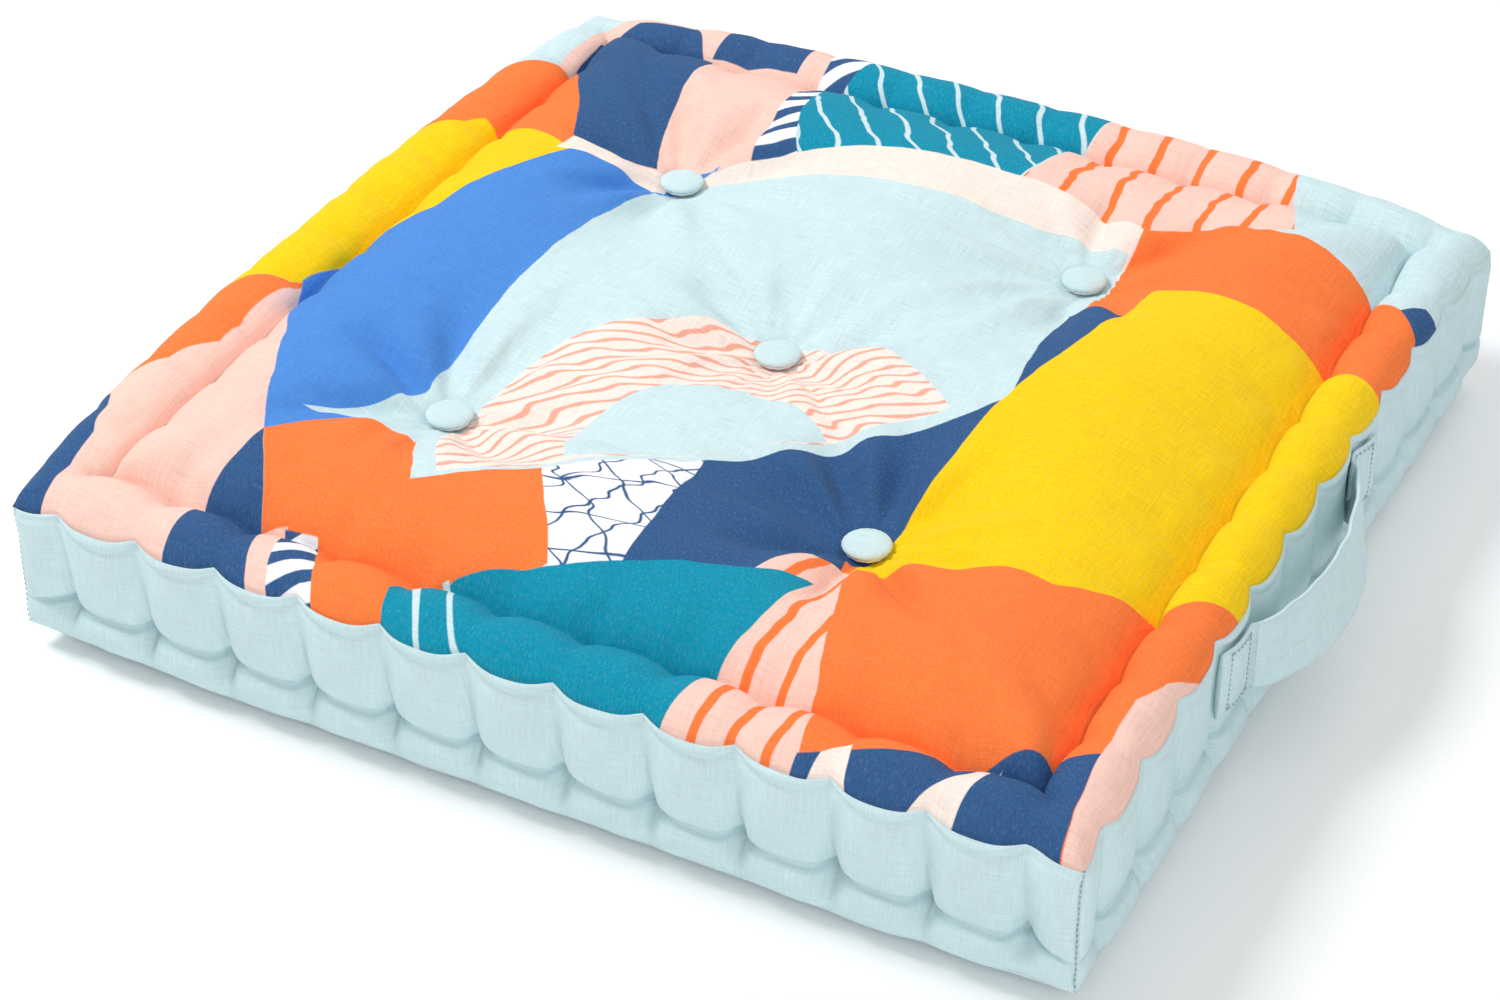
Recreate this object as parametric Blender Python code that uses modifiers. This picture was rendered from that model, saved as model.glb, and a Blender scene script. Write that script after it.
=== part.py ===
"""Tufted floor cushion with rolled edges, five button pairs and one side handle.

Metres, +Z up. The origin is on the floor, under the middle of the whole outline, handle included.
The front side faces -Y and the handle is on the right side, +X. The pieces are placed around the
middle of the cushion itself, and an empty carries them all to the origin.
"""

import math

import bmesh
import bpy
from mathutils import Matrix, Vector

# Driving dimensions
SIDE = 0.600  # seam to seam, in plan
SEAM_Z = 0.090  # height of the top seam
BASE_SEAM_Z = 0.007  # height of the base seam, where the base curls up
CORNER_LIFT = 0.008  # how much higher the base seam is at the corners
CROWN_RISE = 0.024  # how far the middle stands above the top seam
CLOTH = 0.0008  # thickness of the cotton
GAP = 0.0004  # left between pieces that touch

# Rolled edges: a roll of filling is parted from the core by stitches
ROLL = 0.0344  # width of the roll
ROLL_STATIONS = 4  # divisions of a panel across the roll
ROLL_RISE = 0.013
WIDEST_DIVISION = 0.045  # of a panel, inside the rolls
STITCHES = 12  # on each side
STITCH_SPAN = 0.540  # first stitch to last
STITCH_Z = 0.033  # height of the side row
WAIST = 0.012  # how far the side row is pulled in
SIDE_BULGE = 0.002
CORNER_FADE = 0.045  # the pull fades out within this much of a corner
TWINE_RADIUS = 0.0007

# Buttons, at the places where the tufting twine runs through the cushion
BUTTONS = {
    "middle": (-0.010, 0.000),
    "front_left": (-0.137, -0.133),
    "front_right": (0.110, -0.134),
    "back_right": (0.108, 0.148),
    "back_left": (-0.145, 0.138),
}
BUTTON_RADIUS = 0.013
BUTTON_HEIGHT = 0.0068
SHANK_RADIUS = 0.0045
SHANK_LENGTH = 0.0045
SOCKET_RADIUS = 0.0016
TUFT_HOLE_RADIUS = 0.0060
TUFT_BORE_RADIUS = 0.0060
SEAT_RADIUS = 0.018  # the cloth is level under a button
TOP_DIMPLE = (0.021, 0.075)  # depth, radius
BASE_DIMPLE = (0.013, 0.044)
CORE_BASE_DIMPLE = (0.013, 0.075)  # the filling is pulled in more widely than the cloth

# Handle: a strap sewn flat at both ends, whose free middle stands off the side
STRAP_HEIGHT = 0.040
STRAP_THICKNESS = 0.0024
STRAP_Z = 0.066  # middle of the strap, and height of the line it swings about
STRAP_Y = -0.0125
STRAP_HALF_LENGTH = 0.0755  # free part
STRAP_BOW = 0.0235
SEWN_LENGTH = 0.030
SWING_X = SIDE / 2 + 0.0065  # the line that the strap swings about
STRAP_TIP = 0.0035  # half height of the strap where it meets its sewn ends
STRAP_FLARE = 0.80  # half height gained for each unit away from the side

HALF = SIDE / 2
SIDE_TURNS = {"front": 0, "right": 1, "back": 2, "left": 3}  # quarter turns about Z


# Shape of the cushion


def smooth(t):
    """0 to 1, with level ends."""
    t = min(max(t, 0.0), 1.0)
    return t * t * (3 - 2 * t)


def bump(t):
    """1 at 0, falling smoothly to 0 at 1 and beyond."""
    return (1 - t * t) ** 2 if abs(t) < 1 else 0.0


def inner_stations(axis):
    """Divisions of the space inside the rolls along x (0) or y (1), closer at the buttons."""
    rows = []
    for place in sorted(button[axis] for button in BUTTONS.values()):
        if rows and place - rows[-1][-1] < 0.03:
            rows[-1].append(place)
        else:
            rows.append([place])
    near = [ROLL - HALF, HALF - ROLL]
    for row in rows:
        middle = sum(row) / len(row)
        near += [middle + offset for offset in (-0.046, -0.016, 0, 0.016, 0.046)]
    near.sort()
    places = near[:1]
    for start, end in zip(near, near[1:]):
        pieces = math.ceil((end - start) / WIDEST_DIVISION)
        places += [start + (end - start) * i / pieces for i in range(1, pieces + 1)]
    return places


def panel_stations(axis):
    """Divisions of a whole panel along x (0) or y (1), the rolls included."""
    roll = [HALF - ROLL * i / ROLL_STATIONS for i in range(ROLL_STATIONS)]
    return [-place for place in roll] + inner_stations(axis) + roll[::-1]


def dimples(x, y, depth, radius):
    """How far the buttons pull the cloth in at (x, y). It is level right under a button."""
    nearest = min(math.hypot(x - bx, y - by) for bx, by in BUTTONS.values())
    return depth * bump(max(nearest - SEAT_RADIUS, 0) / (radius - SEAT_RADIUS))


def from_edge(x, y):
    return HALF - max(abs(x), abs(y))


def top_z(x, y):
    """Outer face of the printed top: a roll along the edge, then the crown with its dimples."""
    d = from_edge(x, y)
    if d < ROLL:
        return SEAM_Z + ROLL_RISE * math.sin(math.pi * max(d, 0.0) / ROLL)
    rise = CROWN_RISE * (1 - math.exp(-(d - ROLL) / 0.022))
    return SEAM_Z + rise - dimples(x, y, *TOP_DIMPLE)


def base_seam_z(t):
    """Height of the base seam, t along a side from its middle. The corners lift off the floor."""
    return BASE_SEAM_Z + CORNER_LIFT * smooth((abs(t) - 0.17) / (HALF - 0.17))


def base_z(x, y, dimple=BASE_DIMPLE):
    """Outer face of the base: flat on the floor, curling up to the base seam."""
    d = from_edge(x, y)
    curl = base_seam_z(min(abs(x), abs(y))) * (1 - min(max(d, 0.0) / (0.8 * ROLL), 1)) ** 2
    groove = 0.005 * bump((d - ROLL) / 0.014)
    return curl + groove + dimples(x, y, *dimple)


def stitch_place(k):
    """Place along a side of stitch k, from 0."""
    return STITCH_SPAN * (k / (STITCHES - 1) - 0.5)


def side_out(t, z):
    """How far a side stands out of its seam plane, t along it and z up."""
    along = (t / STITCH_SPAN + 0.5) * (STITCHES - 1)
    between = math.sin(math.pi * (along - math.floor(along))) ** 2
    pull = WAIST * (1 - 0.55 * between) * bump((z - STITCH_Z) / 0.030)
    bulge = SIDE_BULGE * bump((z - 0.064) / 0.025)
    fade = smooth((HALF - abs(t)) / CORNER_FADE)
    return (bulge - pull) * fade


# Making and placing objects


def clear_scene():
    for obj in list(bpy.data.objects):
        bpy.data.objects.remove(obj)


def index_of(share, count):
    """Number of the division line at a share from -1 to 1 of count divisions."""
    return round((share + 1) / 2 * count)


def new_collection(name):
    collection = bpy.data.collections.new(name)
    bpy.context.scene.collection.children.link(collection)
    return collection


def new_material(name, colour, roughness, metallic=0.0):
    material = bpy.data.materials.new(name)
    material.use_nodes = True
    shader = material.node_tree.nodes["Principled BSDF"]
    shader.inputs["Base Color"].default_value = (*colour, 1)
    shader.inputs["Roughness"].default_value = roughness
    shader.inputs["Metallic"].default_value = metallic
    return material


def add(name, data, material, turn=0):
    """One named object of the cushion, turned by quarter turns about Z."""
    obj = bpy.data.objects.new(name, data)
    obj.matrix_world = Matrix.Rotation(turn * math.pi / 2, 4, "Z")
    obj.data.materials.append(material)
    obj.parent = root
    parts.objects.link(obj)
    return obj


def mesh_from(bm, name):
    bmesh.ops.recalc_face_normals(bm, faces=bm.faces)
    mesh = bpy.data.meshes.new(name)
    bm.to_mesh(mesh)
    bm.free()
    return mesh


def split_outward(bm):
    """Splits each four-sided face of a panel or a core from its innermost corner outward."""
    for face in [f for f in bm.faces if len(f.verts) == 4]:
        corners = list(face.verts)
        inner = min(range(4), key=lambda i: abs(corners[i].co.x) + abs(corners[i].co.y))
        bmesh.utils.face_split(face, corners[inner], corners[(inner + 2) % 4])


def placed_grid(name, columns, rows, place, split=False):
    """An open sheet of columns x rows faces, each point put at place(u, v), u and v from -1 to 1."""
    bm = bmesh.new()
    bmesh.ops.create_grid(bm, x_segments=columns, y_segments=rows, size=1)
    for vert in bm.verts:
        vert.co = place(vert.co.x, vert.co.y)
    if split:
        split_outward(bm)
    mesh = bpy.data.meshes.new(name)
    bm.to_mesh(mesh)
    bm.free()
    return mesh


def solidify(obj, thickness, offset):
    """Gives an open sheet its thickness; offset -1 grows it behind its faces and 1 in front."""
    modifier = obj.modifiers.new("thickness", "SOLIDIFY")
    modifier.thickness = thickness
    modifier.offset = offset
    return modifier


def cut(obj, cutter):
    modifier = obj.modifiers.new("cut " + cutter.name, "BOOLEAN")
    modifier.operation = "DIFFERENCE"
    modifier.solver = "EXACT"
    modifier.object = cutter


def turned(name, profile, steps, material, place, flip=False):
    """A round piece: a profile of (radius, height) from the top axis point down, turned about Z."""
    bm = bmesh.new()
    verts = [bm.verts.new((radius, 0, height)) for radius, height in profile]
    for upper, lower in zip(verts, verts[1:]):
        bm.edges.new((upper, lower))
    mesh = bpy.data.meshes.new(name)
    bm.to_mesh(mesh)
    bm.free()
    obj = add(name, mesh, material)
    screw = obj.modifiers.new("turn", "SCREW")
    screw.steps = steps
    screw.render_steps = steps
    screw.use_merge_vertices = True
    screw.merge_threshold = 0.00001
    obj.location = place
    if flip:
        obj.rotation_euler.x = math.pi
    return obj


def tube(name, points, radius, material, resolution, turn=0):
    """A length of twine or thread along points, as a closed mesh."""
    curve = bpy.data.curves.new(name, "CURVE")
    curve.dimensions = "3D"
    curve.bevel_depth = radius
    curve.bevel_resolution = resolution
    curve.use_fill_caps = True
    spline = curve.splines.new("POLY")
    spline.points.add(len(points) - 1)
    for point, place in zip(spline.points, points):
        point.co = (*place, 1)
    return add(name, curve, material, turn)


# Covers


def make_panel(name, height, offset, material):
    """The printed top or the plain base, as a sheet at height(x, y)."""
    across, along = panel_stations(0), panel_stations(1)
    columns, rows = len(across) - 1, len(along) - 1

    def place(u, v):
        x, y = across[index_of(u, columns)], along[index_of(v, rows)]
        return x, y, height(x, y)

    obj = add(name, placed_grid(name, columns, rows, place, split=True), material)
    solidify(obj, CLOTH, offset)
    return obj


def make_boxing(name, turn, material):
    """One side strip, made as the front one and turned into place."""
    columns = 2 * (STITCHES + 1)
    heights = [0, 0.021, STITCH_Z, 0.046, 0.060, 0.074, SEAM_Z - CLOTH - GAP]
    end = HALF - CLOTH - GAP  # clear of the strip round the corner

    def place(u, v):
        step = (u + 1) / 2 * (STITCHES + 1)  # 0 and STITCHES + 1 are the corners
        k = math.floor(min(step, STITCHES + 0.999))
        ends = [-end, *(stitch_place(i) for i in range(STITCHES)), end]
        t = ends[k] + (ends[k + 1] - ends[k]) * (step - k)
        z = max(heights[index_of(v, len(heights) - 1)], base_seam_z(t) + CLOTH + GAP)
        return t, -HALF - side_out(t, z), z

    grid = placed_grid(name, columns, len(heights) - 1, place)
    obj = add(name, grid, material, turn)
    solidify(obj, CLOTH, -1)
    return obj


# Filling


def make_core(material):
    """The main block of filling, inside the rolls. It is widest at the side row of stitches."""
    across, along = inner_stations(0), inner_stations(1)
    edge = HALF - ROLL
    top_half = edge - 0.002
    waist_half = HALF - WAIST - 0.0055
    below = 0.0035  # clear of the covers

    bm = bmesh.new()
    bmesh.ops.create_cube(bm, size=2)
    for direction, cuts in enumerate((len(across) - 2, len(along) - 2, 1)):
        edges = [
            e for e in bm.edges
            if abs(e.verts[0].co[direction] - e.verts[1].co[direction]) > 1e-6
        ]
        bmesh.ops.subdivide_edges(bm, edges=edges, cuts=cuts, use_grid_fill=True)
    for vert in bm.verts:
        u, v, w = vert.co
        half = waist_half + (top_half - waist_half) * abs(w)
        x = half / edge * across[index_of(u, len(across) - 1)]
        y = half / edge * along[index_of(v, len(along) - 1)]
        if w > 0.5:
            z = top_z(x, y) - below
        elif w < -0.5:
            z = base_z(x, y, CORE_BASE_DIMPLE) + below
        else:
            z = STITCH_Z
        vert.co = (x, y, z)
    split_outward(bm)
    return add("filling_core", mesh_from(bm, "filling_core"), material)


def make_roll_filling(name, section, material):
    """A square ring of filling. Section lists (distance in from the side, height) round its outline."""
    stations = 14  # along each side
    bpy.ops.mesh.primitive_torus_add(
        major_segments=4 * stations, minor_segments=len(section), major_radius=1, minor_radius=0.25
    )
    made = bpy.context.object
    mesh = made.data.copy()
    bpy.data.objects.remove(made)
    for vert in mesh.vertices:
        x, y, z = vert.co
        round_ring = math.atan2(y, x) / (2 * math.pi) % 1 * 4
        radial = math.hypot(x, y) - 1
        index = round(math.atan2(z, radial) / (2 * math.pi) * len(section)) % len(section)
        distance, height = section[index]
        side = int(round(round_ring * stations) // stations) % 4
        along = 2 * (round(round_ring * stations) % stations) / stations - 1
        half = HALF - distance
        # each side starts at its own corner, going round anticlockwise
        corner_frame = Matrix.Rotation(side * math.pi / 2, 3, "Z")
        vert.co = corner_frame @ Vector((half, along * half, height))
    bm = bmesh.new()
    bm.from_mesh(mesh)
    return add(name, mesh_from(bm, name), material)


# Twine


def make_roll_twine(name, turn, top_row, side_row, material):
    """Zigzag between two rows of stitches, (distance in, height) each, along the front side."""
    points = []
    for k in range(STITCHES):
        t = stitch_place(k)
        step = STITCH_SPAN / (STITCHES - 1)
        points.append((t * 0.93, -HALF + top_row[0], top_row[1]))
        if k < STITCHES - 1:
            points.append((t + step / 2, -HALF + side_row[0], side_row[1]))
    return tube(name, points, TWINE_RADIUS, material, 0, turn)


def make_tufting_twine(name, x, y, low, high, material):
    points = [(x, y, low + (high - low) * i / 4) for i in range(5)]
    return tube(name, points, TWINE_RADIUS, material, 1)


# Buttons


def make_button(place_name, x, y, z, flip, cloth, plastic):
    """A covered cap and, under it, its back plate with the shank. z is where the plate's back lies."""
    plate = 0.0012
    lift = -1 if flip else 1
    rim = BUTTON_RADIUS
    crest = BUTTON_HEIGHT - plate - GAP
    cap = [(0, crest)]
    for degrees in (30, 55, 75):
        angle = math.radians(degrees)
        cap.append((rim * math.sin(angle), crest * (0.25 + 0.75 * math.cos(angle))))
    cap += [(rim, 0.0008), (rim - 0.0008, 0), (0, 0)]
    turned(
        f"button_cap_{place_name}", cap, 14, cloth, (x, y, z + lift * (plate + GAP)), flip
    )
    back = [
        (0, plate),
        (rim - 0.0015, plate),
        (rim - 0.0015, 0),
        (SHANK_RADIUS, 0),
        (SHANK_RADIUS - 0.0010, -SHANK_LENGTH),
        (SOCKET_RADIUS, -SHANK_LENGTH),
        (SOCKET_RADIUS, -0.0005),
        (0, -0.0005),
    ]
    turned(f"button_back_{place_name}", back, 12, plastic, (x, y, z), flip)


# Handle


def strap_half_height(out):
    """The strap narrows towards its ends, so that it can swing without cutting into the side."""
    return min(STRAP_HEIGHT / 2, STRAP_TIP + STRAP_FLARE * out)


def make_strap(material):
    def place(u, v):
        out = STRAP_BOW * (1 - u * u) ** 0.6
        return out, STRAP_HALF_LENGTH * u, v * strap_half_height(out)

    obj = add("handle_strap", placed_grid("handle_strap", 16, 2, place), material)
    obj.location = (SWING_X, STRAP_Y, STRAP_Z)  # the line it swings about runs through here, along Y
    solidify(obj, STRAP_THICKNESS, 0)
    return obj


def make_sewn_end(name, towards, material):
    """Where the strap lies flat on the side. towards is -1 at the front end and 1 at the back."""
    inner = STRAP_HALF_LENGTH + 0.003

    def place(u, v):
        y = STRAP_Y + towards * (inner + SEWN_LENGTH * (1 + towards * u) / 2)
        z = STRAP_Z + v * STRAP_HEIGHT / 2
        return HALF + side_out(y, z) + GAP + 0.0003, y, z

    obj = add(name, placed_grid(name, 4, 6, place), material)
    solidify(obj, STRAP_THICKNESS, 1)
    return obj


def make_handle_stitching(name, towards, material):
    """The row of thread that holds a sewn end, zigzag down its outer face."""
    row = STRAP_HALF_LENGTH + 0.003 + SEWN_LENGTH - 0.004
    count = 14
    points = []
    for i in range(count + 1):
        z = STRAP_Z + (STRAP_HEIGHT - 0.006) * (i / count - 0.5)
        y = STRAP_Y + towards * (row + 0.0012 * (-1) ** i)
        points.append((HALF + side_out(y, z) + STRAP_THICKNESS + 0.0022, y, z))
    return tube(name, points, 0.0005, material, 0)


# The whole cushion

clear_scene()
parts = new_collection("floor_cushion")
cutters = new_collection("cutters")
root = bpy.data.objects.new("cushion_middle", None)
parts.objects.link(root)

printed = new_material("printed cotton", (0.80, 0.36, 0.16), 0.9)
pale = new_material("pale blue cotton", (0.58, 0.77, 0.79), 0.9)
wadding = new_material("cotton wadding", (0.82, 0.80, 0.74), 1.0)
twine = new_material("waxed twine", (0.78, 0.76, 0.70), 0.7)
thread = new_material("sewing thread", (0.50, 0.68, 0.70), 0.6)
plastic = new_material("button plastic", (0.85, 0.85, 0.83), 0.4)

top_panel = make_panel("top_panel", top_z, -1, printed)
base_panel = make_panel("base_panel", base_z, 1, pale)
for side, turn in SIDE_TURNS.items():
    make_boxing(f"boxing_{side}", turn, pale)

core = make_core(wadding)
make_roll_filling(
    "filling_top_roll",
    [
        (0.0035, 0.070),
        (0.0040, 0.083),
        (0.0120, 0.0955),
        (0.0210, 0.0965),
        (0.0300, 0.0865),
        (0.0235, 0.067),
        (0.0165, 0.049),
        (0.0110, 0.047),
    ],
    wadding,
)
make_roll_filling(
    "filling_base_roll",
    [
        (0.0095, 0.0150),
        (0.0130, 0.0215),
        (0.0165, 0.0215),
        (0.0240, 0.0150),
        (0.0280, 0.0080),
        (0.0200, 0.0045),
        (0.0115, 0.0090),
    ],
    wadding,
)

for side, turn in SIDE_TURNS.items():
    make_roll_twine(
        f"top_roll_twine_{side}",
        turn,
        (ROLL - 0.0019, SEAM_Z - 0.0035),
        (WAIST + 0.0035, STITCH_Z + 0.003),
        twine,
    )
    make_roll_twine(
        f"base_roll_twine_{side}",
        turn,
        (ROLL - 0.0029, 0.0085),
        (WAIST + 0.0065, STITCH_Z - 0.006),
        twine,
    )

for place_name, (x, y) in BUTTONS.items():
    # the lowest cloth under the button sets where its plate lies
    around = [
        (x + BUTTON_RADIUS * math.cos(a), y + BUTTON_RADIUS * math.sin(a))
        for a in (k * math.pi / 8 for k in range(16))
    ]
    top_plate = max(top_z(px, py) for px, py in around) + 0.0015
    base_plate = min(base_z(px, py) for px, py in around) - 0.0015
    make_button(f"{place_name}_top", x, y, top_plate, False, pale, plastic)
    make_button(f"{place_name}_base", x, y, base_plate, True, pale, plastic)
    low, high = base_plate + 0.0012, top_plate - 0.0012
    make_tufting_twine(f"tufting_twine_{place_name}", x, y, low, high, twine)
    bpy.ops.mesh.primitive_cylinder_add(
        vertices=8, radius=TUFT_HOLE_RADIUS, depth=0.2, location=(x, y, SEAM_Z / 2)
    )
    hole = bpy.context.object
    hole.name = f"hole_{place_name}"
    hole.hide_render = True
    hole.display_type = "WIRE"
    hole.parent = root
    for owner in list(hole.users_collection):
        owner.objects.unlink(hole)
    cutters.objects.link(hole)
    for obj in (top_panel, base_panel, core):
        cut(obj, hole)

make_strap(pale)
for end, towards in {"front": -1, "back": 1}.items():
    make_sewn_end(f"handle_end_{end}", towards, pale)
    make_handle_stitching(f"handle_stitching_{end}", towards, thread)

# The handle's reach is shared out, so that the origin is under the middle of the outline
reach = SWING_X + STRAP_BOW + STRAP_THICKNESS / 2
left_out = HALF + side_out(0, 0.060)
root.location.x = (left_out - reach) / 2
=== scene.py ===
import math

import bmesh
import bpy
import numpy as np
from mathutils import Matrix, Vector, noise
from mathutils.bvhtree import BVHTree


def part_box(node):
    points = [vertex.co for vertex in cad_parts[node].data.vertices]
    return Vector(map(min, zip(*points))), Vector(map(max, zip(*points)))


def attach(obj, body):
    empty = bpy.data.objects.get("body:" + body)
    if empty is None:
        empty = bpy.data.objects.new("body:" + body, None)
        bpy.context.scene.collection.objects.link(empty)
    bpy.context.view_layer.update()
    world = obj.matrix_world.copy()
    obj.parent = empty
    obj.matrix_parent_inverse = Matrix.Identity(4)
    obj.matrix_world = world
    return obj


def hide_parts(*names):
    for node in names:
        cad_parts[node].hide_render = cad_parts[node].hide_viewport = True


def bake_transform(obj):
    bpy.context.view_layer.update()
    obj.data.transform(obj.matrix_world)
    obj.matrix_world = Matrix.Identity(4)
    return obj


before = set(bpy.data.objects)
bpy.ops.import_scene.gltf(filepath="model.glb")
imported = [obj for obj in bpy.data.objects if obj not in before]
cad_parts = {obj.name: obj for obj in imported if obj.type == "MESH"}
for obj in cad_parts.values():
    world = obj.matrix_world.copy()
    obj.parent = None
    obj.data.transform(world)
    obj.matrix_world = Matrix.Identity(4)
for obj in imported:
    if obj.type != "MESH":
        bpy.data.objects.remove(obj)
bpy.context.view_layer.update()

topLow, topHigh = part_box("top_panel")
middleX = (topLow[0] + topHigh[0]) / 2
middleY = (topLow[1] + topHigh[1]) / 2

buttonNames = ("middle", "front_left", "front_right", "back_right", "back_left")
buttonPlaces = {}
for buttonName in buttonNames:
    low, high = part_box(f"button_cap_{buttonName}_top")
    buttonPlaces[buttonName] = ((low[0] + high[0]) / 2 - middleX, (low[1] + high[1]) / 2 - middleY)

# everything about the sewn cover, in metres
cover = {
    "half": 0.300,
    "seamHeight": 0.090,
    "baseSeamHeight": 0.008,
    "baseCornerLift": 0.007,
    "stitchHeight": 0.033,
    "stitches": 12,
    "stitchSpan": 0.540,
    "grooveIn": 0.0354,  # from the seam to the groove inside the rolled edge
    "grooveHeight": (0.083, 0.088),  # at a stitch, between two
    "rollRise": (0.0115, 0.0145),
    "grooveClose": 0.0046,  # how far the roll and the crown lean over the groove
    "seamOut": (-0.002, 0.0022),
    "seamLift": (0.0028, -0.0015),
    "lipCrease": 3,  # rows below the top seam
    "sideLift": (0.003, 0.003, 0.012, 0.012),  # front, right, back, left: the middle of a side stands higher
    "sideBulge": (0.002, -0.006, 0.009, 0.010),
    "crownRise": 0.0212,
    "crownPleat": 0.0050,  # folds that run in from the stitches of the groove
    "crownPleatLength": 0.030,
    "crownStart": 0.008,  # how quickly the crown rises from the groove
    "topDimple": 0.0195,
    "topDimpleRadius": 0.125,
    "baseDimple": 0.013,
    "baseDimpleRadius": 0.05,
    "buttonSeat": 0.011,  # radius of cloth held under a button
    "stitchPull": 0.0125,
    "rowPull": 0.0022,
    "rowNarrow": 1.3,
    "baseInset": 0.004,
    "grooveCut": 0.0022,  # spare cloth beside the groove
    "rollCut": 1.26,  # cloth in the rolled edge, for each unit of its width
    "panelCut": 1.035,  # the same for the rest of the panel
    "edgeCut": 1.06,  # the same along the edges, which the stitches gather
    "sideCut": 1.10,  # and for the height of the sides
    "cornerCells": 6,
    "pitchCells": 9,
    "rowsBelow": (0.008, 0.013, 0.019, 0.0248, 0.0290, 0.0316),
    "rowsAbove": (0.033, 0.0344, 0.0372, 0.0418, 0.047, 0.053, 0.059, 0.065, 0.071, 0.0765, 0.081, 0.0845, 0.0875, 0.090),
}


def smooth(t):
    t = min(max(t, 0.0), 1.0)
    return t * t * (3 - 2 * t)


def bump(t):
    return (1 - t * t) ** 2 if abs(t) < 1 else 0.0


def mix(a, b, t):
    return a + (b - a) * t


def makeStations():
    """places across a panel, so that the stitches fall on them"""
    half, span = cover["half"], cover["stitchSpan"] / 2
    corner = [-half + (half - span) * i / cover["cornerCells"] for i in range(cover["cornerCells"])]
    cells = (cover["stitches"] - 1) * cover["pitchCells"]
    inner = [-span + 2 * span * i / cells for i in range(cells + 1)]
    return corner + inner + [-place for place in corner[::-1]]


stations = makeStations()
pitch = cover["stitchSpan"] / (cover["stitches"] - 1)
lipHeight = cover["rowsAbove"][-1 - cover["lipCrease"]]


def valleyShare(t):
    """1 on the line of a stitch along a side, falling steeply to 0 halfway between two"""
    along = (t + cover["stitchSpan"] / 2) / pitch
    if along < 0 or along > cover["stitches"] - 1:
        beyond = max(-along, along - cover["stitches"] + 1)
        return bump(beyond / 0.5)
    return (1 - abs(math.sin(math.pi * along))) ** 1.7


def isStitch(t):
    along = (t + cover["stitchSpan"] / 2) / pitch
    return -0.01 < along < cover["stitches"] - 0.99 and abs(along - round(along)) < 0.02


def seamLine(t):
    """how far the top seam stands out, and its height, t along a side"""
    valley = valleyShare(t)
    fade = smooth((cover["half"] - abs(t)) / 0.03)
    out = mix(cover["seamOut"][1], cover["seamOut"][0], valley) * fade
    return out, cover["seamHeight"] + mix(cover["seamLift"][1], cover["seamLift"][0], valley) * fade


def plump(place, x, y, share):
    """lifts and bulges the middles of the sides; share is 0 at the floor and 1 from the top seam on"""
    half = cover["half"]
    moved = Vector((0, 0, 0))
    sides = ((half + y, x, (0, -1)), (half - x, y, (1, 0)), (half - y, x, (0, 1)), (half + x, y, (-1, 0)))
    for number, (away, along, outward) in enumerate(sides):
        profile = 1 - min(abs(along) / half, 1) ** 3
        moved.z += cover["sideLift"][number] * profile * (1 - smooth(away / 0.14)) * share
        near = 1 - smooth(away / 0.06)
        bulge = cover["sideBulge"][number] * profile * near * smooth(share * 1.2)
        bulge -= cover["baseInset"] * profile * near * max(1 - 2 * share, 0)
        moved.x += outward[0] * bulge
        moved.y += outward[1] * bulge
    return place + moved


def topPlace(x, y):
    """starting place of a point of the printed top"""
    half, groove = cover["half"], cover["grooveIn"]
    d = half - max(abs(x), abs(y))
    axis = 0 if abs(x) > abs(y) else 1
    along = y if axis == 0 else x
    sign = math.copysign(1, x if axis == 0 else y)
    valley = valleyShare(along)
    close = cover["grooveClose"] * math.exp(-max(abs(d - groove) - 0.0055, 0) / 0.009) * min(abs(d - groove) / 0.005, 1)
    close *= smooth((half - abs(along)) / 0.05)
    grooveHeight = mix(cover["grooveHeight"][1], cover["grooveHeight"][0], valley)
    place = Vector((x, y, 0))
    if d < groove:
        share = d / groove
        out, seam = seamLine(along)
        rise = mix(cover["rollRise"][1], cover["rollRise"][0], valley)
        place.z = mix(seam, grooveHeight, share) + rise * math.sin(math.pi * share) ** 0.7
        place[axis] += sign * (mix(out, -0.0025 * (1 - valley), share) - close)
        return place
    dimple, folds = 0.0, 0.0
    for number, (bx, by) in enumerate(buttonPlaces.values()):
        r = math.hypot(x - bx, y - by)
        away = max(r - cover["buttonSeat"], 0) / cover["topDimpleRadius"]
        dimple = max(dimple, (1 - min(away, 1)) ** 1.9)
        turn = math.atan2(y - by, x - bx)
        wave = math.cos((6 + number % 3) * turn + number * 1.7 + 0.8 * math.sin(2 * turn + number))
        folds += 0.0065 * wave * bump((r - 0.050) / 0.044)
    rise = cover["crownRise"] * (1 - math.exp(-(d - groove) / cover["crownStart"]))
    sunk = (cover["seamHeight"] - grooveHeight) * math.exp(-((d - groove) / 0.006))
    inward = (d - groove) / cover["crownPleatLength"]
    pleat = cover["crownPleat"] * valley * bump(inward) * smooth(inward * 6) * smooth((half - abs(along) - d) / 0.03)
    place.z = cover["seamHeight"] - sunk + rise - cover["topDimple"] * dimple + folds - pleat
    place[axis] += sign * (close - 0.0025 * (1 - valley) * bump((d - groove) / 0.02))
    return place


def basePlace(x, y):
    d = cover["half"] - max(abs(x), abs(y))
    lift = cover["baseCornerLift"] * smooth((min(abs(x), abs(y)) - 0.17) / 0.13)
    curl = (cover["baseSeamHeight"] + lift) * (1 - min(d / 0.03, 1)) ** 2
    dimple = max(
        bump(max(math.hypot(x - bx, y - by) - cover["buttonSeat"], 0) / cover["baseDimpleRadius"])
        for bx, by in buttonPlaces.values()
    )
    return Vector((x, y, curl + cover["baseDimple"] * dimple))


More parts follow.
